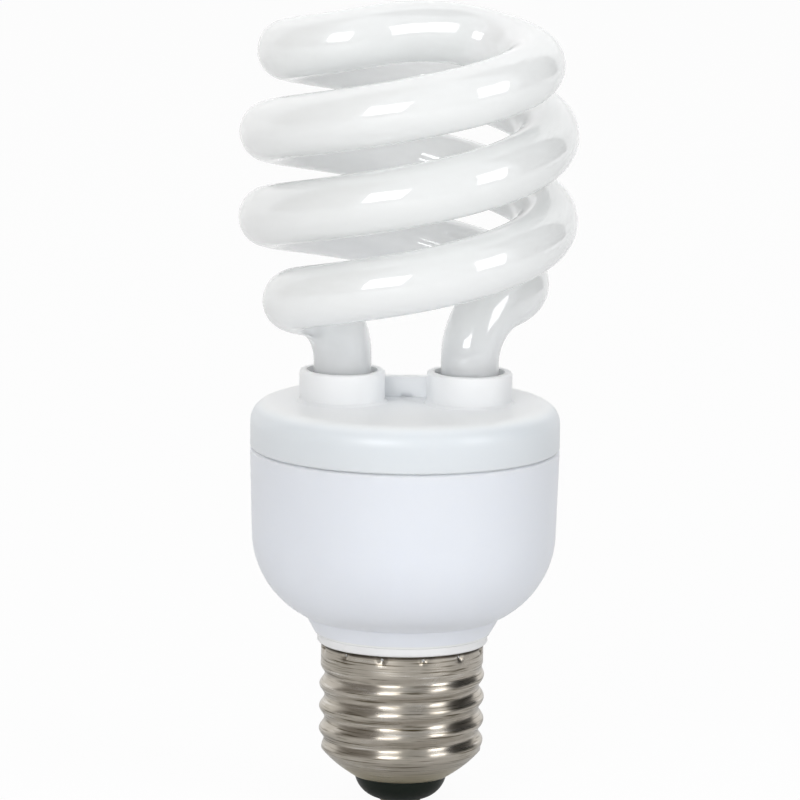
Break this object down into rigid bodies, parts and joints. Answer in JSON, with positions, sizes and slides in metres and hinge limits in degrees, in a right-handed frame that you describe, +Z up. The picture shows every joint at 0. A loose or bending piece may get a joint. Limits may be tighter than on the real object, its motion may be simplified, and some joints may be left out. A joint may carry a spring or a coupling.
{
  "type": "spiral energy saving bulb",
  "caption": "Compact fluorescent lamp: a double-helix frosted glass tube on a white moulded ballast housing with an E27 screw cap.",
  "frame": {"origin": "centre of the lower face of the centre contact, on the lamp's axis", "axes": "+Z up the lamp's axis from the cap to the glass, +X through the two glass legs"},
  "size_m": [0.0536, 0.0536, 0.1288],
  "materials": {
    "frosted_glass": "opal white, glossy",
    "cement": "matt",
    "cover_plastic": "satin moulded",
    "housing_plastic": "satin moulded",
    "nickel_plate": "rolled nickel plate",
    "black_insulator": "gloss black",
    "contact_brass": "satin",
    "solder": "satin",
    "board": "phenolic paper board",
    "capacitor_sleeve": "shrunk sleeve",
    "ferrite": "matt",
    "bobbin_plastic": "matt",
    "copper_wire": "enamelled",
    "epoxy_dip": "dipped",
    "moulded_black": "matt",
    "diac_glass": "glossy",
    "resistor_body": "lacquered",
    "sleeve": "woven and coated",
    "wire_tin": "tinned",
    "cable_skin": "satin"
  },
  "bodies": {
    "root": {"spiral_tube": "frosted_glass", "tube_cement_left": "cement", "tube_cement_right": "cement", "tube_cover": "cover_plastic", "ballast_housing": "housing_plastic", "screw_shell": "nickel_plate", "base_insulator": "black_insulator", "centre_contact": "contact_brass", "contact_solder": "solder", "circuit_board": "board", "bulk_capacitor": "capacitor_sleeve", "choke_core_front": "ferrite", "choke_core_rear": "ferrite", "drive_core": "ferrite", "filter_core": "ferrite", "choke_bobbin": "bobbin_plastic", "choke_winding": "copper_wire", "drive_winding": "copper_wire", "filter_winding": "copper_wire", "resonant_capacitor": "epoxy_dip", "coupling_capacitor": "epoxy_dip", "filter_capacitor": "epoxy_dip", "transistor_high": "moulded_black", "transistor_low": "moulded_black", "rectifier_diode_1": "moulded_black", "rectifier_diode_2": "moulded_black", "rectifier_diode_3": "moulded_black", "rectifier_diode_4": "moulded_black", "trigger_diac": "diac_glass", "base_resistor_1": "resistor_body", "base_resistor_2": "resistor_body", "start_resistor": "resistor_body", "fusible_resistor": "resistor_body", "fuse_sleeve": "sleeve", "wire_post_1": "wire_tin", "wire_post_2": "wire_tin", "wire_post_3": "wire_tin", "wire_post_4": "wire_tin", "filament_lead_1": "wire_tin", "filament_lead_2": "wire_tin", "filament_lead_3": "wire_tin", "filament_lead_4": "wire_tin", "live_lead": "cable_skin", "neutral_lead": "cable_skin"}
  },
  "joints": []
}
